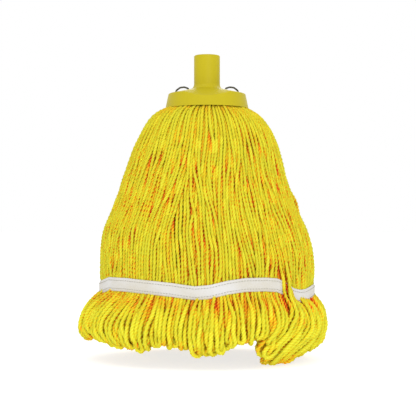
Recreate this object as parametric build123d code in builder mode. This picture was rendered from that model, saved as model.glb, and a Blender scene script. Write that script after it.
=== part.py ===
"""String mop head: a moulded socket, two retaining wires, looped yarn hanks and a sewn tail band.

Millimetres, +Z up. The mop stands on its yarn: the origin is on the floor under the socket's axis,
and +X is to the right as seen from the front, which faces -Y.
"""

import math
import os

from build123d import *

# ---- driving dimensions: socket ----
overall_height = 350.5
tube_radius = 15.0
bore_radius = 12.7  # takes a 25 mm handle
bore_depth = 42.0
mouth_chamfer = 0.8
rim_z = 289.0  # lower edge of the collar
rim_radius = 48.2
corner_z = 305.8  # where the collar's side turns into its shoulder, at the left and right
corner_radius = 44.6
shoulder_top_z = 312.4
crest_z = 313.6  # the shoulder is also arched from front to back, under a barrel with this crest
front_corner_z = 300.8
wall = 2.5
neck_fillet = 6.5
corner_fillet = 1.5

# ---- driving dimensions: retaining wires ----
wire_radius = 1.0
wire_outer_x = 36.0
wire_inner_x = 21.5
wire_low_z = 299.6  # the bent ends inside the collar
wire_crown_z = 314.0
wire_drops = (4.0, 0.4, -0.2, 1.4)  # of the crown's corners below its height, from the outer leg in
wire_bend = 2.4
wire_crown_bends = (3.4, 3.4, 3.4, 2.0)
wire_tail = 3.6
wire_clearance = 0.3

# ---- driving dimensions: joints ----
hinge_z = 289.5
bend_limit = 18.0
bend_margin = 1.0
joint_gap = 0.4
roof_gap = 1.2  # from the bend's axis up to the ridge of the yarn below the collar

# ---- driving dimensions: yarn ----
fold_radius = 40.4  # the folded yarn inside the collar
fold_low_z = 297.6
neck_top_z = 297.0
outer_hanks = 24
inner_hanks = 12
hank_gap = 0.5  # between neighbouring hanks
ring_split = 0.62  # where the outer ring of hanks meets the inner core
core_hole = 0.03

# height, half width and half depth of the whole skirt, from the floor up
skirt_stations = (
    (0.0, 108.0, 80.0),
    (12.0, 126.0, 92.0),
    (26.0, 139.0, 99.0),
    (42.0, 143.0, 101.0),
    (60.0, 136.0, 94.0),
    (74.0, 123.5, 81.5),
    (93.0, 122.0, 79.5),
    (125.0, 122.0, 78.5),
    (165.0, 112.0, 74.5),
    (206.0, 98.0, 69.0),
    (241.0, 86.5, 64.0),
    (269.0, 74.0, 58.5),
    (282.5, 62.0, 52.5),
    (287.8, 48.0, 44.5),
)

# ---- driving dimensions: tail band ----
band_low_z = 76.0
band_height = 15.0
band_thickness = 1.0
band_clearance = 0.4
stitch_inset = 2.6
stitch_height = 0.8
stitch_thickness = 0.35
lap_width = 26.0
lap_thickness = 1.0


def save(part, name):
    """Label a finished piece and write it as one STEP file."""
    part.label = name
    export_step(part, f"parts/{name}.step")


def on_skirt(angle, half_width, half_depth, share):
    """A point on the skirt's section, at a share of the way out from its axis."""
    turn = math.radians(angle)
    return (share * half_width * math.cos(turn), share * half_depth * math.sin(turn))


def hank_outline(angle, spread, half_width, half_depth, inside, outside):
    """Corners of one hank's section: a wedge whose outer face is crowned."""
    mean_radius = math.sqrt(half_width * half_depth)
    out_trim = math.degrees(hank_gap / 2 / (mean_radius * outside))
    in_trim = math.degrees(hank_gap / 2 / (mean_radius * inside))
    out_reach = spread / 2 - out_trim
    in_reach = spread / 2 - in_trim
    shoulder_share = outside * 0.975
    return [
        on_skirt(angle - in_reach, half_width, half_depth, inside),
        on_skirt(angle - out_reach, half_width, half_depth, shoulder_share),
        on_skirt(angle, half_width, half_depth, outside),
        on_skirt(angle + out_reach, half_width, half_depth, shoulder_share),
        on_skirt(angle + in_reach, half_width, half_depth, inside),
    ]


def roof_outline():
    """Everything below the collar that stays clear of it at the bend's limits, as a Y-Z outline."""
    slope = math.tan(math.radians(bend_limit + bend_margin))
    reach = 130.0
    ridge = hinge_z - roof_gap
    eaves = ridge - slope * reach
    return [(-reach, -1.0), (reach, -1.0), (reach, eaves), (0.0, ridge), (-reach, eaves)]


def make_hank(name, angle, spread, inside, outside):
    """One hank of looped yarn as a plain closed solid, from the floor to the collar."""
    with BuildPart() as hank:
        for height, half_width, half_depth in skirt_stations:
            outline = hank_outline(angle, spread, half_width, half_depth, inside, outside)
            with BuildSketch(Plane.XY.offset(height)):
                with BuildLine():
                    Polyline(*outline, close=True)
                make_face()
        loft(ruled=True)
        with BuildSketch(Plane.YZ):
            with BuildLine():
                Polyline(*roof_outline(), close=True)
            make_face()
        extrude(amount=200, both=True, mode=Mode.INTERSECT)
    save(hank.part, name)


def wire_path(side):
    """Centreline of one retaining wire: bent end, leg, low crown over the shoulder, leg, bent end."""
    outer, inner = side * wire_outer_x, side * wire_inner_x
    third = (outer - inner) / 3
    crown = [(outer - i * third, 0, wire_crown_z - drop) for i, drop in enumerate(wire_drops)]
    return [
        (outer - side * wire_tail, 0, wire_low_z),
        (outer, 0, wire_low_z),
        *crown,
        (inner, 0, wire_low_z),
        (inner + side * wire_tail, 0, wire_low_z),
    ]


def make_wire(side, name):
    """A galvanised wire staple that holds the yarn's folds against the collar's ceiling."""
    with BuildPart() as wire:
        with BuildLine() as path:
            FilletPolyline(*wire_path(side), radius=[wire_bend, *wire_crown_bends, wire_bend])
        with BuildSketch(Plane(origin=path.line @ 0, z_dir=path.line % 0)):
            Circle(wire_radius)
        sweep(path=path.line)
    save(wire.part, name)


def bell_outline(inset):
    """Half of the collar's section, closed on the axis, moved in by a wall or a gap."""
    return [
        (0, rim_z),
        (rim_radius - inset, rim_z),
        (corner_radius - inset, corner_z - inset),
        (tube_radius, shoulder_top_z - inset),
        (0, shoulder_top_z - inset),
    ]


def barrel_radius():
    """Radius of the barrel that arches the shoulder from front to back."""
    drop = crest_z - front_corner_z
    return (corner_radius**2 + drop**2) / (2 * drop)


def middle_radius(edge):
    """How far an edge's middle is from the socket's axis."""
    middle = edge @ 0.5
    return math.hypot(middle.X, middle.Y)


def skirt_size_at(height):
    """Half width and half depth of the skirt between two stations."""
    for low, high in zip(skirt_stations, skirt_stations[1:]):
        if low[0] <= height <= high[0]:
            share = (height - low[0]) / (high[0] - low[0])
            return tuple(low[i] + share * (high[i] - low[i]) for i in (1, 2))
    raise ValueError(height)


def make_loop(name, low, height, inside, thickness):
    """A thin closed hoop round the skirt."""
    half_width, half_depth = inside
    with BuildPart() as hoop:
        with BuildSketch(Plane.XY.offset(low)):
            Ellipse(half_width + thickness, half_depth + thickness)
            Ellipse(half_width, half_depth, mode=Mode.SUBTRACT)
        extrude(amount=height)
    save(hoop.part, name)


os.makedirs("parts", exist_ok=True)
bore_floor_z = overall_height - bore_depth
ceiling_z = bore_floor_z - wall

# ---- socket: tube, arched shoulder and collar in one moulding, hollow below and bored above ----
barrel_z = crest_z - barrel_radius()
with BuildPart() as hollow:
    with BuildSketch(Plane.XZ):
        with BuildLine():
            Polyline(*bell_outline(wall), close=True)
        make_face()
    revolve(axis=Axis.Z)
    with Locations((0, 0, barrel_z)):
        Cylinder(barrel_radius() - wall, 4 * rim_radius, rotation=(0, 90, 0), mode=Mode.INTERSECT)
    with Locations((0, 0, ceiling_z)):
        Cylinder(
            rim_radius,
            overall_height,
            align=(Align.CENTER, Align.CENTER, Align.MIN),
            mode=Mode.SUBTRACT,
        )

with BuildPart() as handle_socket:
    with BuildSketch(Plane.XZ):
        with BuildLine():
            Polyline(*bell_outline(0), close=True)
        make_face()
    revolve(axis=Axis.Z)
    with Locations((0, 0, barrel_z)):
        Cylinder(barrel_radius(), 4 * rim_radius, rotation=(0, 90, 0), mode=Mode.INTERSECT)
    with Locations((0, 0, ceiling_z)):
        Cylinder(
            tube_radius,
            overall_height - ceiling_z,
            align=(Align.CENTER, Align.CENTER, Align.MIN),
        )
    necks = handle_socket.edges().filter_by(
        lambda edge: abs(middle_radius(edge) - tube_radius) < 0.01
        and (edge @ 0.5).Z < shoulder_top_z + 1
    )
    fillet(necks, neck_fillet)
    top_edge = handle_socket.edges().filter_by(GeomType.CIRCLE).group_by(Axis.Z)[-1]
    chamfer(top_edge, mouth_chamfer)
    with Locations((0, 0, bore_floor_z)):
        Cylinder(
            bore_radius,
            overall_height,
            align=(Align.CENTER, Align.CENTER, Align.MIN),
            mode=Mode.SUBTRACT,
        )
    mouth_edge = handle_socket.edges().filter_by(GeomType.CIRCLE).group_by(Axis.Z)[-1]
    chamfer(mouth_edge.sort_by(SortBy.RADIUS)[0], mouth_chamfer / 2)
    add(hollow.part, mode=Mode.SUBTRACT)
    for x in (-wire_outer_x, -wire_inner_x, wire_inner_x, wire_outer_x):
        with Locations((x, 0, wire_crown_z)):
            Cylinder(
                wire_radius + wire_clearance,
                wire_crown_z - rim_z,
                align=(Align.CENTER, Align.CENTER, Align.MAX),
                mode=Mode.SUBTRACT,
            )
    corners = handle_socket.edges().filter_by(
        lambda edge: edge.center().Z > rim_z + 1 and middle_radius(edge) > corner_radius - 0.5
    )
    fillet(corners, corner_fillet)
save(handle_socket.part, "handle_socket")

# ---- retaining wires ----
make_wire(-1, "retaining_wire_left")
make_wire(1, "retaining_wire_right")

# ---- folded yarn heads under the ceiling, with channels for the wires ----
with BuildPart() as folded_yarn_heads:
    with BuildSketch(Plane.XZ):
        with BuildLine():
            Polyline(
                (0, fold_low_z),
                (fold_radius + 1.0, fold_low_z),
                (fold_radius, corner_z - wall - 1.0),
                (tube_radius, ceiling_z - joint_gap),
                (0, ceiling_z - joint_gap),
                close=True,
            )
        make_face()
    revolve(axis=Axis.Z)
    with Locations((0, 0, barrel_z)):
        Cylinder(
            barrel_radius() - wall - joint_gap,
            4 * rim_radius,
            rotation=(0, 90, 0),
            mode=Mode.INTERSECT,
        )
    channel = 2 * (wire_radius + wire_clearance)
    middle_x = (wire_outer_x + wire_inner_x) / 2
    for side in (-1, 1):
        with Locations((side * middle_x, 0, fold_low_z)):
            Box(
                wire_outer_x - wire_inner_x + channel,
                channel,
                2 * (wire_low_z + wire_bend - fold_low_z),
                mode=Mode.SUBTRACT,
            )
        for x in (wire_inner_x, wire_outer_x):
            with Locations((side * x, 0, fold_low_z)):
                Cylinder(
                    channel / 2,
                    overall_height - fold_low_z,
                    align=(Align.CENTER, Align.CENTER, Align.MIN),
                    mode=Mode.SUBTRACT,
                )
save(folded_yarn_heads.part, "folded_yarn_heads")

# ---- neck of packed yarn in the collar's mouth ----
with BuildPart() as yarn_neck:
    with BuildSketch(Plane.XY.offset(hinge_z)):
        Circle(fold_radius + 2.0)
    with BuildSketch(Plane.XY.offset(neck_top_z)):
        Circle(fold_radius + 0.6)
    loft()
save(yarn_neck.part, "yarn_neck")

# ---- hanks of looped yarn: an outer ring and an inner core ----
outer_spread = 360 / outer_hanks
inner_spread = 360 / inner_hanks
for number in range(outer_hanks):
    name = f"outer_yarn_hank_{number + 1:02d}"
    make_hank(name, number * outer_spread, outer_spread, ring_split + 0.004, 1.0)
for number in range(inner_hanks):
    name = f"inner_yarn_hank_{number + 1:02d}"
    make_hank(name, (number + 0.5) * inner_spread, inner_spread, core_hole, ring_split - 0.004)

# ---- tail band with its two rows of stitching and the lapped end at the back ----
band_inside = tuple(size + band_clearance for size in skirt_size_at(band_low_z))
stitch_inside = tuple(size + band_thickness for size in band_inside)
make_loop("tail_band", band_low_z, band_height, band_inside, band_thickness)
upper_stitch_z = band_low_z + band_height - stitch_inset - stitch_height
lower_stitch_z = band_low_z + stitch_inset
make_loop("band_stitching_upper", upper_stitch_z, stitch_height, stitch_inside, stitch_thickness)
make_loop("band_stitching_lower", lower_stitch_z, stitch_height, stitch_inside, stitch_thickness)

lap_inside = tuple(size + stitch_thickness for size in stitch_inside)
with BuildPart() as tail_band_lap:
    with BuildSketch(Plane.XY.offset(band_low_z)):
        Ellipse(lap_inside[0] + lap_thickness, lap_inside[1] + lap_thickness)
        Ellipse(lap_inside[0], lap_inside[1], mode=Mode.SUBTRACT)
        with Locations((0, lap_inside[1])):
            Rectangle(lap_width, lap_width, mode=Mode.INTERSECT)
    extrude(amount=band_height)
save(tail_band_lap.part, "tail_band_lap")
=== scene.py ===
"""String mop head: twisted yarn hanks, tail band, stitching, and the plastic and wire of the socket."""

import math

import bmesh
import bpy
import numpy as np
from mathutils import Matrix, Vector


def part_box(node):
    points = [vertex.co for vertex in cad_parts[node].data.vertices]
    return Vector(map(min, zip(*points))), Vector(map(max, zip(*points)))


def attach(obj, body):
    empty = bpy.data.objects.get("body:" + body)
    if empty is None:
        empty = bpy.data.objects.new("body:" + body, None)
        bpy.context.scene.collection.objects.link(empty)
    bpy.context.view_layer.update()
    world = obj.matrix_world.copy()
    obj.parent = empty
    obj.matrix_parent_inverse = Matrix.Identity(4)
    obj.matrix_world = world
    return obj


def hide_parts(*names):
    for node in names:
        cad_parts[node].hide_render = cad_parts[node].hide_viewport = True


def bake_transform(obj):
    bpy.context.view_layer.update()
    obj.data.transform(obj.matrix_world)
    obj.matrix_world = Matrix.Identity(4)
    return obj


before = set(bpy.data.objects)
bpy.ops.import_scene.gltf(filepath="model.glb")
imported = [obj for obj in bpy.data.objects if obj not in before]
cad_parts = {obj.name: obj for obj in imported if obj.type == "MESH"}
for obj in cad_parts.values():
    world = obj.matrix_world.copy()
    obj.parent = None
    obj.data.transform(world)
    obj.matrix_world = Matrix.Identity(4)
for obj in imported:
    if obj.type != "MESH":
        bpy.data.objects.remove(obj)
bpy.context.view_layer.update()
rng = np.random.default_rng(11)

# ---- sizes, in metres ----
YARN = 0.0040  # yarn diameter
PLIES = 3
PLY_PITCH = 0.0138  # length of yarn for one full turn of its plies
PLY_CROWN, PLY_GROOVE = 0.56, 0.44  # distance of the plies' crowns and grooves, in yarn diameters
RING_STEP = 0.0016  # spacing of the rings of a yarn's mesh
NODE_STEP = 0.0036  # spacing of the nodes that settle the yarn
SMOOTHING = 6  # points read from each span of a route's spline
OUTER_LEGS, INNER_LEGS = 16, 8
INNER_SHARES = (0.80, 0.55, 0.72, 0.40)  # of the way out to the outer strings
SETTLE_ROUNDS = 70
PACKED = 0.86  # share of the yarn's thickness left where it is packed in the collar's mouth
FLUFF = 0.27  # share by which the yarn is thicker in the fringe

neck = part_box("yarn_neck")
band_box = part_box("tail_band")
MOUTH_Z = neck[0][2]
NECK_TOP = neck[1][2]
MOUTH_RADIUS = neck[1][0] - 0.0022  # of the ring of strings next to the collar
BAND_Z = (band_box[0][2] + band_box[1][2]) / 2
TAPE_HEIGHT, TAPE_THICK = 0.015, 0.0009
FLOOR_CLEAR = YARN * PLY_CROWN * (1 + FLUFF) + 0.0003

# the camera looks level along +Y
EYE_Z, CAMERA_AWAY = 0.174, 1.2

# height, half width, half depth and sideways shift of the yarn's outer strings, from the floor up
STATIONS = np.array(
    [
        (0.000, 0.100, 0.076, 0.0000),
        (0.012, 0.119, 0.089, -0.0010),
        (0.026, 0.1325, 0.096, -0.0040),
        (0.040, 0.1370, 0.098, -0.0040),
        (0.060, 0.1315, 0.092, -0.0020),
        (0.074, 0.1225, 0.082, -0.0005),
        (0.093, 0.1205, 0.079, 0.0000),
        (0.125, 0.1190, 0.077, -0.0003),
        (0.148, 0.1140, 0.0755, -0.0022),
        (0.165, 0.1060, 0.073, -0.0024),
        (0.185, 0.0980, 0.070, -0.0026),
        (0.206, 0.0915, 0.067, -0.0030),
        (0.2225, 0.0875, 0.065, -0.0022),
        (0.241, 0.0820, 0.0625, -0.0008),
        (0.262, 0.0735, 0.0585, -0.0002),
        (0.276, 0.0645, 0.0540, -0.0010),
        (0.2835, 0.0545, 0.0500, -0.0012),
        (0.2880, 0.0445, 0.0438, 0.0000),
        (0.2910, 0.0405, 0.0405, 0.0000),
    ]
)

# the fringe's ragged lower edge as it shows from the front: x, and height in the plane y = 0
HEM = np.array(
    [
        (-0.150, 0.030),
        (-0.144, 0.023),
        (-0.130, 0.0185),
        (-0.116, 0.027),
        (-0.102, 0.016),
        (-0.088, 0.0115),
        (-0.074, 0.007),
        (-0.060, 0.008),
        (-0.046, 0.015),
        (-0.032, 0.006),
        (-0.0186, 0.0034),
        (-0.0116, 0.001),
        (0.0023, 0.0020),
        (0.0093, 0.0055),
        (0.016, 0.006),
        (0.030, 0.014),
        (0.044, 0.016),
        (0.0590, 0.019),
        (0.0650, 0.012),
        (0.0710, 0.001),
        (0.0770, -0.007),
        (0.0830, -0.010),
        (0.093, -0.0065),
        (0.107, -0.0005),
        (0.121, 0.005),
        (0.134, 0.028),
        (0.150, 0.036),
    ]
)

# middle of the tail band round the front, as x and height; it rides up and down over the yarn
BAND_FRONT = np.array(
    [
        (-0.123, 0.0815),
        (-0.108, 0.0890),
        (-0.089, 0.0892),
        (-0.060, 0.0871),
        (-0.038, 0.0852),
        (-0.013, 0.0818),
        (0.003, 0.0832),
        (0.022, 0.0878),
        (0.041, 0.0905),
        (0.063, 0.0905),
        (0.076, 0.0893),
        (0.086, 0.0845),
        (0.0945, 0.0775),
        (0.102, 0.0752),
        (0.1085, 0.0753),
        (0.1177, 0.0785),
        (0.123, 0.0800),
    ]
)


def half_sizes(z):
    """Half width and half depth of the skirt at a height."""
    return np.interp(z, STATIONS[:, 0], STATIONS[:, 1]), np.interp(z, STATIONS[:, 0], STATIONS[:, 2])


def side_shift(z):
    """How far the skirt's middle stands to the side at a height."""
    return np.interp(z, STATIONS[:, 0], STATIONS[:, 3])


def smooth(t):
    t = np.clip(t, 0.0, 1.0)
    return t * t * (3 - 2 * t)


def place(angle, share, z):
    """The point at an angle round the skirt, at a share of the way out, at a height."""
    width, depth = half_sizes(z)
    return np.array([side_shift(z) + width * share * math.cos(angle), depth * share * math.sin(angle), z])


# ---- the strings' places in the collar's mouth ----
def mouth_places(count):
    """Evenly packed places in the mouth, as radius and angle."""
    golden = math.pi * (3 - math.sqrt(5))
    k = np.arange(count)
    radius = MOUTH_RADIUS * np.sqrt((k + 0.5) / count)
    return np.stack([radius, np.mod(k * golden, 2 * math.pi)], axis=1)


def sector_groups(places, count, offset):
    """The places sorted by angle and cut into equal groups, the first one round angle 0."""
    turn = np.mod(places[:, 1] + offset, 2 * math.pi)
    return np.array_split(places[np.argsort(turn, kind="stable")], count)


def leg_pairs(group):
    """Legs of one hank in order along its yarn: a far and a near place by turns."""
    by_radius = group[np.argsort(group[:, 0], kind="stable")]
    half = len(group) // 2
    middle = math.atan2(np.sin(group[:, 1]).mean(), np.cos(group[:, 1]).mean())

    def turned(places):
        swing = np.mod(places[:, 1] - middle + math.pi, 2 * math.pi)
        return places[np.argsort(swing, kind="stable")]

    return list(zip(turned(by_radius[half:]), turned(by_radius[:half])))


# ---- the strings' routes ----
PART_X, PART_TOP = -0.014, 0.250  # where the front strings part, left of the middle
# waves of lean round the skirt: how many, their size, their phase, and how it changes with height
CLUMPS = (
    (7, 0.0036, 0.4, 9.0),
    (11, 0.0030, 2.2, -14.0),
    (19, 0.0022, 4.1, 21.0),
    (31, 0.0012, 1.3, -30.0),
)
# heights of a leg's points, from the mouth down, and the sides and heights of a looped end's points
DROP_Z = (0.2905, 0.288, 0.284, 0.278, 0.270, 0.258, 0.243, 0.226, 0.206, 0.186, 0.166, 0.147)
FRINGE_Z = (0.130, 0.115, 0.102, 0.092, 0.083, 0.074, 0.065, 0.056, 0.047, 0.038, 0.031)
LOOP = ((-0.85, 1.9), (-1.08, 1.0), (-0.80, 0.22), (0, -0.06), (0.80, 0.22), (1.08, 1.0), (0.85, 1.9))
FOLD = ((0.0, 0.7), (0.3, 1.2), (0.7, 1.2), (1.0, 0.7))
OVER_X = (0.082, 0.0940)  # a clump of strings hangs over the band here
WAVY = 0.0007  # how far the strings stray from straight
OPEN_X = (0.0600, 0.0645)  # the loops that end here hang wide open
SPREAD = 0.00024  # how far the outer strings move outward in one round of settling


def lean(turn, home, rank, z):
    """How far round the skirt a string leans from its own place, in metres along the surface."""
    width, _ = half_sizes(z)
    x, front = width * math.cos(turn), float(smooth(-2.2 * math.sin(home)))
    deep = rank > 0.55
    value = 0.0
    for waves, size, phase, climb in CLUMPS:
        value += size * math.sin(waves * turn + phase + climb * z + (2.1 if deep else 0.0))
    value *= smooth((0.272 - z) / 0.08)
    top_x = 0.1 * math.cos(home)
    fan = smooth((PART_TOP - z) / 0.13) * front
    if not deep:
        if top_x < PART_X:
            value -= 0.027 * fan * math.exp((top_x - PART_X) / 0.055)
        else:
            value += 0.006 * fan * math.exp((PART_X - top_x) / 0.030)
    left = smooth((-x - 0.045) / 0.06) * front
    right = smooth((x - 0.050) / 0.05) * front
    value += left * (-0.020 * smooth((0.088 - z) / 0.045) + 0.024 * smooth((0.044 - z) / 0.028))
    value += right * (0.005 * smooth((0.088 - z) / 0.040) - 0.034 * smooth((0.050 - z) / 0.038))
    return value


def inset(z, rank, legs):
    """How far inside the outer strings one of this rank lies: the skirt is deeper where it is narrow."""
    width, depth = half_sizes(z)
    round_it = 2 * math.pi * math.sqrt((width**2 + depth**2) / 2)
    return rank * max(legs * YARN / round_it - 1, 0) * YARN * 0.85


def hem(x, y):
    """The lowest a string may hang at a place, so that the fringe's edge shows as it should."""
    nearness = 1 + y / CAMERA_AWAY
    edge = np.interp(x / nearness, HEM[:, 0], HEM[:, 1])
    return max(0.0026, EYE_Z - (EYE_Z - edge) * nearness)


def leaned(turn, home, rank, z, share, across, out=0.0):
    """The point of a string at a height, after its lean and its own offsets across and outward."""
    width, depth = half_sizes(z)
    speed = math.hypot(width * math.sin(turn), depth * math.cos(turn))
    share += out / math.sqrt(width * depth)
    return place(turn + (lean(turn, home, rank, z) + across) / speed, share, z)


def outer_share(z, rank, legs):
    width, depth = half_sizes(z)
    return 1 - inset(z, rank, legs) / math.sqrt(width * depth)


def leg_points(top, angle, rank, legs, share, side, low, wander, over, bunch, twist):
    """One leg from the mouth down to just above its loop."""
    radius, start_angle = top
    start_share = radius / MOUTH_RADIUS
    swing = math.remainder(angle - start_angle, 2 * math.pi)
    points = []
    for z in DROP_Z + FRINGE_Z:
        if z <= low + 0.010:
            break
        down = (MOUTH_Z - z) / (MOUTH_Z - BAND_Z)
        turn = start_angle + swing * smooth(down * 1.05)
        settled_share = outer_share(z, rank, legs) if share is None else share
        out = start_share + (settled_share - start_share) * smooth(down * 1.8)
        drift = wander[0] * math.sin(wander[1] + wander[2] * down) * smooth(down * 2)
        if over:
            out += 0.055 * smooth((0.132 - z) / 0.022) * smooth((z - 0.045) / 0.018)
            drift += bunch * smooth((0.150 - z) / 0.03) * smooth((z - 0.045) / 0.02)
        turned = twist * smooth((low + 0.055 - z) / 0.045)
        offset = side * YARN * 0.52 * smooth(down * 1.3)
        stir = WAVY * smooth(down * 3) * rng.normal(0, 1, 2)
        across, away = offset * math.cos(turned) + drift + stir[0], offset * math.sin(turned) + stir[1]
        points.append(leaned(turn, angle, rank, z, out, across, away))
    return points


def loop_points(angle, rank, share, low, half, drift, twist):
    """The looped end that joins two legs, as points from one leg to the other."""
    points = []
    for side, up in LOOP:
        across, away = side * half * math.cos(twist) + drift, side * half * math.sin(twist)
        points.append(leaned(angle, angle, rank, low + up * half, share, across, away))
    return points


def fold_points(a, b):
    """The fold inside the collar that joins two legs over the top, as round as the room allows."""
    room = NECK_TOP - YARN / 2 - 0.0002 - a[2]
    rise = min(room, np.linalg.norm(a - b) / 2)
    return [a * (1 - t) + b * t + np.array([0, 0, rise * up]) for t, up in FOLD]


def hank_route(group, centre, spread, shares, legs, first_loop):
    """Points along one hank's whole yarn: down, round a loop, up, over a fold, and so on."""
    pairs = leg_pairs(group)
    route, last = [], None
    for k, (first, second) in enumerate(pairs):
        angle = centre + spread * ((k + 0.5) / len(pairs) - 0.5) + rng.normal(0, 0.010)
        rank = 1.0 if shares else ((first_loop + k) * 0.618) % 1.0
        share = shares[k % len(shares)] if shares else None
        end_share = share or outer_share(0.03, rank, legs)
        where = leaned(angle, angle, rank, 0.02, end_share, 0.0)
        low = hem(where[0], where[1]) + abs(rng.normal(0, 0.0022)) + 0.005 * rank * rng.uniform(0.2, 1)
        low += 0.004 * smooth((where[1] + 0.045) / 0.03)
        sway = (rng.normal(0, 0.0022), rng.uniform(0, 6.3), rng.uniform(3, 8))
        at_band = leaned(angle, angle, rank, BAND_Z, 1.0, 0.0)
        over = rank < 0.75 and OVER_X[0] < at_band[0] < OVER_X[1] and at_band[1] < 0
        bunch = 0.5 * (sum(OVER_X) / 2 - at_band[0]) if over else 0.0
        twist, half = rng.uniform(-1.4, 1.4), rng.uniform(0.0041, 0.0050)
        if OPEN_X[0] < where[0] < OPEN_X[1] and where[1] < -0.05 and not shares:
            twist, half = 0.0, 0.0064
            low = hem(OPEN_X[1], where[1])
        down = leg_points(first, angle, rank, legs, share, -1, low, sway, over, bunch, twist)
        up = leg_points(second, angle, rank, legs, share, 1, low, sway, over, bunch, twist)[::-1]
        if last is not None:
            route += fold_points(last, down[0])
        end_down = (MOUTH_Z - low) / (MOUTH_Z - BAND_Z)
        drift = sway[0] * math.sin(sway[1] + sway[2] * end_down)
        route += down + loop_points(angle, rank, end_share, low, half, drift, twist) + up
        last = up[-1]
    return np.array(route)


def evenly(points, step):
    """The polyline again with points about step apart."""
    gaps = np.linalg.norm(np.diff(points, axis=0), axis=1)
    along = np.concatenate([[0], np.cumsum(gaps)])
    count = max(2, int(round(along[-1] / step)) + 1)
    at = np.linspace(0, along[-1], count)
    return np.stack([np.interp(at, along, points[:, i]) for i in range(3)], axis=1)


def spline_points(points, resolution):
    """Points on the NURBS spline with these control points."""
    curve = bpy.data.curves.new("route", "CURVE")
    curve.dimensions = "3D"
    spline = curve.splines.new("NURBS")
    spline.points.add(len(points) - 1)
    flat = np.concatenate([points, np.ones((len(points), 1))], axis=1)
    spline.points.foreach_set("co", flat.ravel())
    spline.order_u = 3
    spline.use_endpoint_u = True
    spline.resolution_u = resolution
    bare = bpy.data.objects.new("route", curve)
    mesh = bpy.data.meshes.new_from_object(bare)
    line = np.zeros(len(mesh.vertices) * 3)
    mesh.vertices.foreach_get("co", line)
    bpy.data.meshes.remove(mesh)
    bpy.data.objects.remove(bare)
    bpy.data.curves.remove(curve)
    return line.reshape(-1, 3)


# ---- the band's path ----
def band_height(turn):
    """The tape's middle height round the skirt."""
    width, _ = half_sizes(BAND_Z)
    x = width * np.cos(turn)
    front = np.interp(x, BAND_FRONT[:, 0], BAND_FRONT[:, 1])
    side = 0.5 * (1 - np.cos(turn))
    level = BAND_FRONT[-1, 1] * (1 - side) + BAND_FRONT[0, 1] * side
    back = level + 0.0035 * np.sin(2 * turn) + 0.0015 * np.sin(5 * turn)
    return np.where(np.sin(turn) < 0, front, back)


def band_share(at):
    """How far out a point is against the tape's own section, and its angle round it."""
    width, depth = half_sizes(BAND_Z)
    turn = np.arctan2(at[:, 1] / depth, at[:, 0] / width)
    return np.hypot(at[:, 0] / width, at[:, 1] / depth), turn


# ---- settling: strings push each other apart, and keep near their routes ----
def near_pairs(points, reach):
    """Every pair of points closer than about reach, by a grid of cells."""
    cell = np.floor(points / reach).astype(np.int64)
    cell -= cell.min(axis=0) - 1
    size = cell.max(axis=0) + 2
    key = (cell[:, 0] * size[1] + cell[:, 1]) * size[2] + cell[:, 2]
    order = np.argsort(key, kind="stable")
    sorted_key = key[order]
    firsts, seconds = [], []
    steps = [(x, y, z) for x in (-1, 0, 1) for y in (-1, 0, 1) for z in (-1, 0, 1)]
    for step in steps[13:]:
        target = key + (step[0] * size[1] + step[1]) * size[2] + step[2]
        start = np.searchsorted(sorted_key, target, "left")
        count = np.searchsorted(sorted_key, target, "right") - start
        first = np.repeat(np.arange(len(points)), count)
        within = np.arange(count.sum()) - np.repeat(np.cumsum(count) - count, count)
        second = order[np.repeat(start, count) + within]
        keep = first < second if step == (0, 0, 0) else np.ones(len(first), bool)
        firsts.append(first[keep])
        seconds.append(second[keep])
    first, second = np.concatenate(firsts), np.concatenate(seconds)
    close = np.linalg.norm(points[first] - points[second], axis=1) < reach
    return first[close], second[close]


def thickness(z):
    """Share of the yarn's thickness at a height: squeezed as it enters the collar, fluffy in the fringe."""
    return PACKED + (1 - PACKED) * smooth((0.2885 - z) / 0.012) + FLUFF * smooth((0.078 - z) / 0.022)


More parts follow.
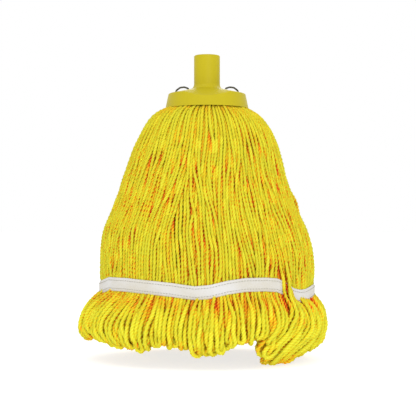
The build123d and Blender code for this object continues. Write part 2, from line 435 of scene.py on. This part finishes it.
def settle(routes, outer, rounds):
    """Push overlapping strings apart, smoothly along each one, while the outer ones spread outward."""
    lengths = [len(r) for r in routes]
    home = np.concatenate(routes)
    spreads = np.repeat([i < outer for i in range(len(routes))], lengths)
    owner = np.repeat(np.arange(len(routes)), lengths)
    at = home.copy()
    ends = np.cumsum(lengths)
    inner = np.ones(len(home), bool)
    inner[ends - 1] = False
    inner[np.concatenate([[0], ends[:-1]])] = False
    middle = np.flatnonzero(inner)
    free = 1 - smooth((home[:, 2] - 0.2875) / 0.004)
    share, turn = band_share(home)
    over = share > 1.03
    held = ~over & (np.abs(home[:, 2] - band_height(turn)) < TAPE_HEIGHT / 2 + 0.002)
    above_hem, below_rim = smooth((home[:, 2] - 0.035) / 0.03), smooth((0.284 - home[:, 2]) / 0.01)
    pressure = SPREAD * spreads * above_hem * below_rim * ~over
    for turn_number in range(rounds):
        if turn_number % 4 == 0:
            first, second = near_pairs(at, YARN * 1.2)
            far_along = (owner[first] != owner[second]) | (np.abs(first - second) > 3)
            first, second = first[far_along], second[far_along]
        apart = YARN * 0.98 * thickness((at[first, 2] + at[second, 2]) / 2)
        gap = at[first] - at[second]
        distance = np.maximum(np.linalg.norm(gap, axis=1), 1e-6)
        push = np.clip(apart - distance, 0, None) * 0.42
        move = gap / distance[:, None] * push[:, None]
        total = np.stack(
            [
                np.bincount(first, move[:, i], len(at)) - np.bincount(second, move[:, i], len(at))
                for i in range(3)
            ],
            axis=1,
        )
        at += np.clip(total, -0.0012, 0.0012) * free[:, None]
        width, depth = half_sizes(at[:, 2])
        room = 1 - np.hypot((at[:, 0] - side_shift(at[:, 2])) / width, at[:, 1] / depth)
        outward = pressure * np.clip(room * 40, -3, 1) / np.maximum(np.hypot(at[:, 0], at[:, 1]), 0.01)
        at[:, :2] *= 1 + outward[:, None]
        moved = at - home
        for _ in range(2):
            moved[middle] = 0.5 * moved[middle] + 0.25 * (moved[middle - 1] + moved[middle + 1])
        at = home + moved * 0.99
        keep_in(at, held)
    return np.split(at, ends[:-1])


def keep_in(at, held):
    """Hold every node above the floor, inside the mouth, and inside the band where it passes under."""
    at[:, 2] = np.clip(at[:, 2], FLOOR_CLEAR, NECK_TOP - YARN / 2)
    share, _ = band_share(at)
    scale = np.where(held, np.minimum(1.0, 1.0 / np.maximum(share, 1e-6)), 1.0)
    at[:, :2] *= scale[:, None]


def stray_loop(nodes):
    """One string stands off the skirt's side in a short open bow."""
    height, depth, bow, half = 0.184, -0.012, 0.0030, 5
    sides = []
    for line in nodes:
        near = (np.abs(line[:, 2] - height) < 0.004) & (np.abs(line[:, 1] - depth) < 0.012)
        sides.append(np.where(near, line[:, 0], -1))
    which = int(np.argmax([side.max() for side in sides]))
    middle, line = int(np.argmax(sides[which])), nodes[which]
    for i in range(max(middle - half + 1, 0), min(middle + half, len(line))):
        line[i, 0] += bow * math.cos((i - middle) / half * math.pi / 2) ** 2


# ---- yarn meshes ----
def twisted_yarn(line, name, painted_shade_open):
    """A mesh of plied yarn along a line, with what its material needs to know at each point.

    proud is 1 on a ply's crown and 0 in a groove, between is how far the point faces its neighbours,
    open is how little yarn lies outside it, fringe is 1 in the fringe, and along is the place on the yarn.
    The material paints shade from proud, between and open: in the grooves, on the sides facing other
    strings, and deep inside.
    """
    ring = PLIES * 2
    along = np.concatenate([[0], np.cumsum(np.linalg.norm(np.diff(line, axis=0), axis=1))])
    tangent = np.gradient(line, axis=0)
    tangent /= np.linalg.norm(tangent, axis=1)[:, None]
    normal = np.zeros_like(line)
    side = np.cross(tangent[0], (0.31, 0.95, 0.05))
    side /= np.linalg.norm(side)
    for i, t in enumerate(tangent):
        side = side - t * (side[0] * t[0] + side[1] * t[1] + side[2] * t[2])
        side = side / math.sqrt(side[0] ** 2 + side[1] ** 2 + side[2] ** 2)
        normal[i] = side
    binormal = np.cross(tangent, normal)
    turn = 2 * math.pi / PLY_PITCH * along + 1.1 * np.sin(along / 0.011 + 2 * np.sin(along / 0.083))
    turn = turn[:, None] + np.linspace(0, 2 * math.pi, ring, endpoint=False)[None, :]
    proud = np.tile(np.arange(ring) % 2 == 0, len(line)).reshape(-1, ring)
    fade = np.clip(np.minimum(along, along[-1] - along) / 0.002, 0.35, 1) * thickness(line[:, 2])
    radius = np.where(proud, YARN * PLY_CROWN, YARN * PLY_GROOVE) * fade[:, None]
    away = normal[:, None, :] * np.cos(turn)[:, :, None] + binormal[:, None, :] * np.sin(turn)[:, :, None]
    spot = line[:, None, :] + away * radius[:, :, None]
    outward = line * np.array([1.0, 1.8, 0.0])
    outward /= np.maximum(np.linalg.norm(outward, axis=1), 1e-6)[:, None]
    facing = (away * outward[:, None, :]).sum(axis=2)
    # between sets painted shade on a string's sides that face its neighbours, with less of it high up and in
    # the fringe
    high, low = smooth((line[:, 2] - 0.190) / 0.095), smooth((0.078 - line[:, 2]) / 0.020)
    between = np.clip((0.86 - facing) * 2, 0, 1) * np.where(proud, 0.30, 1.0)
    between = between * (1 - 0.7 * high - 0.5 * low)[:, None]
    rows, cols = np.meshgrid(np.arange(len(line) - 1) * ring, np.arange(ring), indexing="ij")
    after = (cols + 1) % ring
    corners = [rows + cols, rows + after, rows + ring + after, rows + ring + cols]
    quads = np.stack(corners, axis=-1).reshape(-1, 4)
    caps = [list(range(ring))[::-1], [(len(line) - 1) * ring + i for i in range(ring)]]
    mesh = bpy.data.meshes.new(name)
    mesh.from_pydata(spot.reshape(-1, 3).tolist(), [], quads.tolist() + caps)
    mesh.polygons.foreach_set("use_smooth", np.ones(len(mesh.polygons), bool))
    for attribute, values in (
        ("proud", proud.astype(np.float32).ravel()),
        ("between", between.astype(np.float32).ravel()),
        ("open", np.repeat(painted_shade_open, ring).astype(np.float32)),
        ("fringe", np.repeat(smooth((0.080 - line[:, 2]) / 0.03), ring).astype(np.float32)),
        ("along", np.repeat(along, ring).astype(np.float32)),
    ):
        mesh.attributes.new(attribute, "FLOAT", "POINT").data.foreach_set("value", values)
    mesh.update()
    piece = bpy.data.objects.new(name, mesh)
    bpy.context.scene.collection.objects.link(piece)
    return piece


def painted_shade_openness(nodes):
    """For every node of every route, how little yarn lies outside it: 1 in the open, 0 deep inside. The
    yarn's material paints shade from it, darker and redder deep inside.
    """
    points = np.concatenate(nodes)
    first, second = near_pairs(points, 0.009)
    outward = points * np.array([1.0, 1.5, 0.0])
    outward /= np.maximum(np.linalg.norm(outward, axis=1), 1e-6)[:, None]
    gap = points[second] - points[first]
    lift = (gap * outward[first]).sum(axis=1)
    sideways = np.sqrt(np.maximum((gap**2).sum(axis=1) - lift**2, 0))
    cover = np.clip(lift / 0.004, -1, 1) * np.clip(1.3 - sideways / 0.0055, 0, 1)
    load = np.bincount(first, np.clip(cover, 0, 1), len(points))
    load = load + np.bincount(second, np.clip(-cover, 0, 1), len(points))
    value = np.clip(1.0 - load / 3.4, 0, 1)
    # the painted shade is weaker in the fringe and next to the collar's rim
    fringe, rim = smooth((points[:, 2] - 0.025) / 0.06), smooth((points[:, 2] - 0.258) / 0.02)
    value = 1 - (1 - value) * (0.42 + 0.58 * fringe) * (1 - 0.6 * rim)
    return np.split(value, np.cumsum([len(n) for n in nodes])[:-1])


# ---- materials ----
def node_material(name):
    material = bpy.data.materials.new(name)
    material.use_nodes = True
    tree = material.node_tree
    return material, tree, tree.nodes["Principled BSDF"]


def link(tree, out, into):
    tree.links.new(out, into)


def texture_noise(tree, scale, detail, where):
    noise = tree.nodes.new("ShaderNodeTexNoise")
    noise.inputs["Scale"].default_value = scale
    noise.inputs["Detail"].default_value = detail
    link(tree, where, noise.inputs["Vector"])
    return noise.outputs["Fac"]


def object_coordinates(tree):
    return tree.nodes.new("ShaderNodeTexCoord").outputs["Object"]


def ramp(tree, factor, stops):
    node = tree.nodes.new("ShaderNodeValToRGB")
    elements = node.color_ramp.elements
    while len(elements) < len(stops):
        elements.new(0.5)
    for element, (position, colour) in zip(elements, stops):
        element.position = position
        element.color = (*colour, 1)
    link(tree, factor, node.inputs["Fac"])
    return node.outputs["Color"]


def math_node(tree, operation, a, b=None, clamp=False):
    node = tree.nodes.new("ShaderNodeMath")
    node.operation = operation
    node.use_clamp = clamp
    for socket, value in zip(node.inputs, (a, b)):
        if value is None:
            continue
        if isinstance(value, (int, float)):
            socket.default_value = value
        else:
            link(tree, value, socket)
    return node.outputs[0]


def attribute(tree, name):
    node = tree.nodes.new("ShaderNodeAttribute")
    node.attribute_name = name
    return node.outputs["Fac"]


def bump(tree, shader, height, strength, distance):
    node = tree.nodes.new("ShaderNodeBump")
    node.inputs["Strength"].default_value = strength
    node.inputs["Distance"].default_value = distance
    link(tree, height, node.inputs["Height"])
    link(tree, node.outputs["Normal"], shader.inputs["Normal"])


def yarn_material():
    material, tree, shader = node_material("yellow_microfibre_yarn")
    where = object_coordinates(tree)
    proud, open_ = attribute(tree, "proud"), attribute(tree, "open")
    fibres = texture_noise(tree, 1500, 3, where)
    patches = texture_noise(tree, 38, 2, where)
    stretch = tree.nodes.new("ShaderNodeCombineXYZ")
    link(tree, attribute(tree, "along"), stretch.inputs["X"])
    tone = texture_noise(tree, 9, 1, stretch.outputs[0])
    long = tree.nodes.new("ShaderNodeVectorMath")
    long.operation = "MULTIPLY"
    long.inputs[1].default_value = (1.0, 1.0, 0.16)
    link(tree, where, long.inputs[0])
    # painted shade between strings: a point that faces its neighbours gets darker and redder, more so in
    # long random stretches along z
    streaks = math_node(tree, "SUBTRACT", texture_noise(tree, 230, 1, long.outputs[0]), 0.46)
    streaks = math_node(tree, "MULTIPLY", streaks, 9.0, clamp=True)
    depth = math_node(tree, "ADD", math_node(tree, "MULTIPLY", streaks, 0.54), 0.16)
    depth = math_node(tree, "MULTIPLY", depth, attribute(tree, "between"))
    # painted shade and highlight: the yarn is darker deep in the bundle (open) and in the gaps between
    # strings, with a painted highlight on the ply crowns (proud); the noises add random tone
    light = math_node(tree, "MULTIPLY", open_, 0.72)
    light = math_node(tree, "ADD", light, math_node(tree, "MULTIPLY", proud, 0.26))
    light = math_node(tree, "SUBTRACT", light, depth)
    for noise, weight in ((patches, 0.22), (tone, 0.20), (fibres, 0.16)):
        swing = math_node(tree, "MULTIPLY", math_node(tree, "SUBTRACT", noise, 0.5), weight)
        light = math_node(tree, "ADD", light, swing)
    # the ramp gives dark red and orange for painted shade and the yarn's own yellow at the top
    colour = ramp(
        tree,
        light,
        [
            (0.0, (0.60, 0.045, 0.008)),
            (0.20, (0.78, 0.19, 0.010)),
            (0.42, (0.79, 0.465, 0.016)),
            (0.64, (0.695, 0.62, 0.025)),
            (1.0, (0.655, 0.685, 0.048)),
        ],
    )
    # painted shade in the ply grooves: the colour is made darker and more orange where proud is 0
    groove = ramp(tree, proud, [(0.0, (0.90, 0.82, 0.66)), (1.0, (1.0, 1.0, 1.0))])
    groove_shaded = tree.nodes.new("ShaderNodeMix")
    groove_shaded.data_type, groove_shaded.blend_type = "RGBA", "MULTIPLY"
    groove_shaded.inputs[0].default_value = 1.0
    link(tree, colour, groove_shaded.inputs[6])
    link(tree, groove, groove_shaded.inputs[7])
    # painted light: the fringe's colour is made a tenth brighter to offset the shade it lies in
    fringe_painted_light = tree.nodes.new("ShaderNodeMix")
    fringe_painted_light.data_type, fringe_painted_light.blend_type = "RGBA", "MULTIPLY"
    fringe_painted_light.inputs[7].default_value = (1.10, 1.10, 1.05, 1)
    link(tree, attribute(tree, "fringe"), fringe_painted_light.inputs[0])
    link(tree, groove_shaded.outputs[2], fringe_painted_light.inputs[6])
    link(tree, fringe_painted_light.outputs[2], shader.inputs["Base Color"])
    shader.inputs["Roughness"].default_value = 0.82
    shader.inputs["Specular IOR Level"].default_value = 0.08
    bump(tree, shader, fibres, 0.35, 0.0004)
    return material


def plastic_material():
    material, tree, shader = node_material("moulded_yellow_plastic")
    where = object_coordinates(tree)
    haze = texture_noise(tree, 24, 3, where)
    grain = texture_noise(tree, 900, 2, where)
    colour = ramp(tree, haze, [(0.3, (0.435, 0.36, 0.010)), (0.7, (0.46, 0.38, 0.012))])
    link(tree, colour, shader.inputs["Base Color"])
    rough = tree.nodes.new("ShaderNodeMapRange")
    rough.inputs["To Min"].default_value = 0.34
    rough.inputs["To Max"].default_value = 0.46
    link(tree, haze, rough.inputs["Value"])
    link(tree, rough.outputs["Result"], shader.inputs["Roughness"])
    shader.inputs["Specular IOR Level"].default_value = 0.1
    bump(tree, shader, grain, 0.12, 0.0002)
    return material


def wire_material():
    material, tree, shader = node_material("galvanised_steel_wire")
    where = object_coordinates(tree)
    spangle = texture_noise(tree, 700, 3, where)
    colour = ramp(tree, spangle, [(0.35, (0.035, 0.034, 0.025)), (0.65, (0.13, 0.125, 0.10))])
    link(tree, colour, shader.inputs["Base Color"])
    shader.inputs["Metallic"].default_value = 1.0
    rough = tree.nodes.new("ShaderNodeMapRange")
    rough.inputs["To Min"].default_value = 0.35
    rough.inputs["To Max"].default_value = 0.6
    link(tree, spangle, rough.inputs["Value"])
    link(tree, rough.outputs["Result"], shader.inputs["Roughness"])
    bump(tree, shader, spangle, 0.3, 0.0002)
    return material


def tape_material():
    material, tree, shader = node_material("woven_white_tape")
    around, up = attribute(tree, "around"), attribute(tree, "up")
    warp = math_node(tree, "SINE", math_node(tree, "MULTIPLY", around, 2 * math.pi / 0.0012))
    weft = math_node(tree, "SINE", math_node(tree, "MULTIPLY", up, 2 * math.pi / 0.0009))
    weave = math_node(tree, "MULTIPLY", warp, weft)
    where = object_coordinates(tree)
    stain = texture_noise(tree, 16, 3, where)
    threads = texture_noise(tree, 1200, 2, where)
    tone = math_node(tree, "MULTIPLY", weave, 0.10)
    tone = math_node(tree, "ADD", tone, math_node(tree, "MULTIPLY", threads, 0.25))
    tone = math_node(tree, "ADD", tone, math_node(tree, "MULTIPLY", stain, 0.75), clamp=True)
    colour = ramp(
        tree,
        tone,
        [(0.25, (0.50, 0.45, 0.32)), (0.55, (0.62, 0.61, 0.60)), (0.85, (0.70, 0.70, 0.73))],
    )
    link(tree, colour, shader.inputs["Base Color"])
    shader.inputs["Roughness"].default_value = 0.78
    shader.inputs["Sheen Weight"].default_value = 0.15
    bump(tree, shader, weave, 0.35, 0.0003)
    return material


def thread_material():
    material, tree, shader = node_material("stitching_thread")
    where = object_coordinates(tree)
    strands = texture_noise(tree, 2500, 2, where)
    colour = ramp(tree, strands, [(0.3, (0.26, 0.24, 0.19)), (0.7, (0.42, 0.40, 0.34))])
    link(tree, colour, shader.inputs["Base Color"])
    shader.inputs["Roughness"].default_value = 0.6
    bump(tree, shader, strands, 0.3, 0.0002)
    return material


def floor_material():
    material, tree, shader = node_material("pale_floor")
    where = object_coordinates(tree)
    mottle = texture_noise(tree, 3, 2, where)
    colour = ramp(tree, mottle, [(0.3, (0.40, 0.40, 0.40)), (0.7, (0.42, 0.42, 0.42))])
    link(tree, colour, shader.inputs["Base Color"])
    shader.inputs["Roughness"].default_value = 0.9
    shader.inputs["Specular IOR Level"].default_value = 0.0
    shader.inputs["Emission Color"].default_value = (1, 1, 1, 1)
    shader.inputs["Emission Strength"].default_value = 0.74
    return material


# ---- camera and lights ----
PIXEL = 0.00116  # metres of the object's middle plane to one pixel of the 416 pixel frame
FRAME = 416
SENSOR = 36.0


def add_camera():
    data = bpy.data.cameras.new("camera")
    data.sensor_width = SENSOR
    data.lens = SENSOR * CAMERA_AWAY / (FRAME * PIXEL)
    camera = bpy.data.objects.new("camera", data)
    camera.location = (0.0012, -CAMERA_AWAY, EYE_Z)
    camera.rotation_euler = (math.pi / 2, 0, 0)
    bpy.context.scene.collection.objects.link(camera)
    bpy.context.scene.camera = camera


def add_light(name, place_at, aim, size, power):
    data = bpy.data.lights.new(name, "AREA")
    data.size = size
    data.energy = power
    lamp = bpy.data.objects.new(name, data)
    lamp.location = place_at
    lamp.rotation_euler = (Vector(aim) - Vector(place_at)).to_track_quat("-Z", "Y").to_euler()
    bpy.context.scene.collection.objects.link(lamp)


def add_world(strength):
    world = bpy.data.worlds.new("studio")
    bpy.context.scene.world = world
    world.use_nodes = True
    background = world.node_tree.nodes["Background"]
    background.inputs["Color"].default_value = (1, 1, 1, 1)
    background.inputs["Strength"].default_value = strength


def add_floor():
    mesh = bpy.data.meshes.new("floor")
    reach, top = 6.0, -0.0005
    corners = [(x * reach, y * reach, top) for x, y in ((-1, -1), (1, -1), (1, 1), (-1, 1))]
    mesh.from_pydata(corners, [], [(0, 1, 2, 3)])
    floor = bpy.data.objects.new("floor", mesh)
    bpy.context.scene.collection.objects.link(floor)
    mesh.materials.append(floor_material())


add_camera()
add_world(1.0)
add_floor()
add_light("key", (-0.5, -1.2, 2.0), (0, 0, 0.18), 1.0, 9.5)
add_light("fill", (0.45, -1.7, 0.15), (0, 0, 0.06), 1.2, 13)
add_light("back", (0.3, 1.5, 1.3), (0, 0, 0.2), 1.2, 6)
bpy.context.scene.view_settings.view_transform = "Standard"

# ---- yarn ----
outer_names = sorted(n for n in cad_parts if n.startswith("outer_yarn_hank"))
inner_names = sorted(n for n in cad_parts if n.startswith("inner_yarn_hank"))
outer_count, inner_count = len(outer_names), len(inner_names)
legs = outer_count * OUTER_LEGS + inner_count * INNER_LEGS
places = mouth_places(legs)
core = places[: inner_count * INNER_LEGS]
rim = places[inner_count * INNER_LEGS :]
outer_spread, inner_spread = 2 * math.pi / outer_count, 2 * math.pi / inner_count

names, routes = [], []
outer_total = outer_count * OUTER_LEGS
for i, (name, group) in enumerate(zip(outer_names, sector_groups(rim, outer_count, outer_spread / 2))):
    names.append(name)
    routes.append(hank_route(group, i * outer_spread, outer_spread, (), outer_total, i * OUTER_LEGS // 2))
for i, (name, group) in enumerate(zip(inner_names, sector_groups(core, inner_count, 0.0))):
    names.append(name)
    routes.append(hank_route(group, (i + 0.5) * inner_spread, inner_spread, INNER_SHARES, 0, 0))

fine = [evenly(spline_points(r, SMOOTHING), NODE_STEP) for r in routes]
settled = settle(fine, outer_count, SETTLE_ROUNDS)
stray_loop(settled)
# how open each node is, for the yarn's painted shade
shades = painted_shade_openness(settled)

yarn = yarn_material()
for name, nodes, shade in zip(names, settled, shades):
    line = evenly(spline_points(nodes, SMOOTHING), RING_STEP)
    open_at = np.interp(np.linspace(0, 1, len(line)), np.linspace(0, 1, len(shade)), shade)
    piece = twisted_yarn(line, name.replace("yarn_hank", "strings"), open_at)
    piece.data.materials.append(yarn)
    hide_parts(name, "yarn_neck")
    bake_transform(piece)


# ---- tail band ----
TAPE_POINTS = 240  # round the skirt
TAPE_CUP = 0.0006  # how far the tape's edges curl in
STITCH_INSET = 0.0030  # of a row from the tape's edge
STITCH_PITCH, STITCH_LENGTH, THREAD_RADIUS = 0.0032, 0.0032 * 0.72, 0.00032
# places along a stitch, and how far each stands out of the tape
STITCH_BOW = ((0.0, -0.0004), (0.12, 0.0001), (0.5, 0.00022), (0.88, 0.0001), (1.0, -0.0004))


def tape_point(angle, up, out):
    """A point on the tape: at a height across it, and so far out from the yarn."""
    width, depth = half_sizes(BAND_Z)
    x, y = width * math.cos(angle), depth * math.sin(angle)
    normal = np.array([math.cos(angle) * depth, math.sin(angle) * width])
    normal /= np.linalg.norm(normal)
    away = YARN / 2 + 0.0004 + out
    return (x + normal[0] * away, y + normal[1] * away, band_height(angle) + up)


def make_tape(name, angles, out, closed):
    """A strip of tape with real thickness, round all or part of the skirt."""
    heights = np.linspace(-TAPE_HEIGHT / 2, TAPE_HEIGHT / 2, 9)
    section = [(h, out + TAPE_THICK) for h in heights] + [(h, out) for h in heights[::-1]]
    points, around, up = [], [], []
    travelled, before = 0.0, None
    for angle in angles:
        here = np.array(tape_point(angle, 0, 0))
        travelled += 0.0 if before is None else float(np.linalg.norm(here - before))
        before = here
        for h, o in section:
            cup = -TAPE_CUP * (2 * h / TAPE_HEIGHT) ** 2
            points.append(tape_point(angle, h, o + cup))
            around.append(travelled)
            up.append(h)
    n, ring = len(angles), len(section)
    faces = []
    for i in range(n if closed else n - 1):
        a, b = i * ring, ((i + 1) % n) * ring
        faces += [(a + j, b + j, b + (j + 1) % ring, a + (j + 1) % ring) for j in range(ring)]
    if not closed:
        faces += [tuple(range(ring)), tuple((n - 1) * ring + j for j in range(ring))[::-1]]
    mesh = bpy.data.meshes.new(name)
    mesh.from_pydata(points, [], faces)
    for place_name, values in (("around", around), ("up", up)):
        data = mesh.attributes.new(place_name, "FLOAT", "POINT").data
        data.foreach_set("value", np.array(values, np.float32))
    fix_normals(mesh)
    mesh.polygons.foreach_set("use_smooth", np.ones(len(mesh.polygons), bool))
    piece = bpy.data.objects.new(name, mesh)
    bpy.context.scene.collection.objects.link(piece)
    return piece


def fix_normals(mesh):
    bm = bmesh.new()
    bm.from_mesh(mesh)
    bmesh.ops.recalc_face_normals(bm, faces=bm.faces)
    bm.to_mesh(mesh)
    bm.free()


def make_stitches(name, angles, up):
    """A row of thread stitches that lie proud of the tape, each bowed and tucked in at its ends."""
    base = np.array([tape_point(a, up, TAPE_THICK - 0.0002) for a in angles])
    base = np.concatenate([base, base[:1]])
    along = np.concatenate([[0], np.cumsum(np.linalg.norm(np.diff(base, axis=0), axis=1))])
    count = int(along[-1] / STITCH_PITCH)
    points, faces = [], []
    ring = 6
    for k in range(count):
        start = k * along[-1] / count
        spots = []
        for t, rise in STITCH_BOW:
            s = start + t * STITCH_LENGTH
            p = np.array([np.interp(s, along, base[:, i]) for i in range(3)])
            flat = p[:2] / np.linalg.norm(p[:2])
            spots.append((p + np.array([flat[0], flat[1], 0]) * rise, flat))
        first = len(points)
        heading = spots[-1][0] - spots[0][0]
        heading /= np.linalg.norm(heading)
        for p, flat in spots:
            outward = np.array([flat[0], flat[1], 0.0])
            upward = np.cross(heading, outward)
            for j in range(ring):
                turn = 2 * math.pi * j / ring
                points.append(p + THREAD_RADIUS * (outward * math.cos(turn) + upward * math.sin(turn)))
        for i in range(len(spots) - 1):
            a = first + i * ring
            b = a + ring
            faces += [(a + j, a + (j + 1) % ring, b + (j + 1) % ring, b + j) for j in range(ring)]
        faces += [tuple(end + j for j in range(ring)) for end in (first, first + 4 * ring)]
    mesh = bpy.data.meshes.new(name)
    mesh.from_pydata([tuple(p) for p in points], [], faces)
    fix_normals(mesh)
    mesh.polygons.foreach_set("use_smooth", np.ones(len(mesh.polygons), bool))
    piece = bpy.data.objects.new(name, mesh)
    bpy.context.scene.collection.objects.link(piece)
    return piece


tape, thread = tape_material(), thread_material()
angles = np.linspace(0, 2 * math.pi, TAPE_POINTS, endpoint=False)
band = make_tape("tail_tape", angles, 0.0, True)
band.data.materials.append(tape)
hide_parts("tail_band")
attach(band, "skirt")

row_height = TAPE_HEIGHT / 2 - STITCH_INSET
for name, node, up in (
    ("stitch_row_upper", "band_stitching_upper", row_height),
    ("stitch_row_lower", "band_stitching_lower", -row_height),
):
    row = make_stitches(name, angles, up)
    row.data.materials.append(thread)
    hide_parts(node)
    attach(row, "skirt")

back = TAPE_POINTS // 4
lap = make_tape("tail_tape_lap", angles[back - 5 : back + 6], TAPE_THICK + 0.0004, False)
lap.data.materials.append(tape)
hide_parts("tail_band_lap")
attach(lap, "skirt")

band_points = np.array([tape_point(a, 0, 0) for a in angles])

# ---- folded heads inside the collar ----
heads_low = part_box("folded_yarn_heads")[0][2]
FOLD_FOOT, FOLD_TOP = heads_low + 0.0021, heads_low + 0.0052  # heights of a fold's ends and of its top
FOLD_REACH = 0.008  # how wide one fold is, at least


def head_folds():
    """Short folds of yarn lying side by side across the ceiling of the collar."""
    lines = []
    radius = MOUTH_RADIUS - 0.002
    for row in np.arange(-radius + YARN, radius, YARN * 1.05):
        reach_x = math.sqrt(max(radius**2 - row**2, 0)) - YARN
        if reach_x < FOLD_REACH:
            continue
        pieces_across = max(1, int(reach_x / FOLD_REACH))
        for k in range(pieces_across):
            left = -reach_x + 2 * reach_x * k / pieces_across + 0.0005
            right = left + 2 * reach_x / pieces_across - 0.001
            lines.append(
                np.array(
                    [
                        (left, row, FOLD_FOOT),
                        (left, row, FOLD_TOP - 0.001),
                        (left * 0.7 + right * 0.3, row, FOLD_TOP),
                        (left * 0.3 + right * 0.7, row, FOLD_TOP),
                        (right, row, FOLD_TOP - 0.001),
                        (right, row, FOLD_FOOT),
                    ]
                )
            )
    return lines


parts = []
for k, control in enumerate(head_folds()):
    line = evenly(spline_points(control, SMOOTHING), RING_STEP)
    # the folds get a fixed open value of 0.3: painted shade for yarn tucked inside the collar
    parts.append(twisted_yarn(line, f"fold_{k}", np.full(len(line), 0.3)))
heads = parts[0]
with bpy.context.temp_override(active_object=heads, selected_objects=parts, selected_editable_objects=parts):
    bpy.ops.object.join()
heads.name = "yarn_folds"
heads.data.materials.append(yarn)
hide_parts("folded_yarn_heads")
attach(heads, "socket")

# ---- materials of the CAD nodes that show ----
for node, material in (
    ("handle_socket", plastic_material()),
    ("retaining_wire_left", wire_material()),
    ("retaining_wire_right", wire_material()),
):
    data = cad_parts[node].data
    data.materials.clear()
    data.materials.append(material)
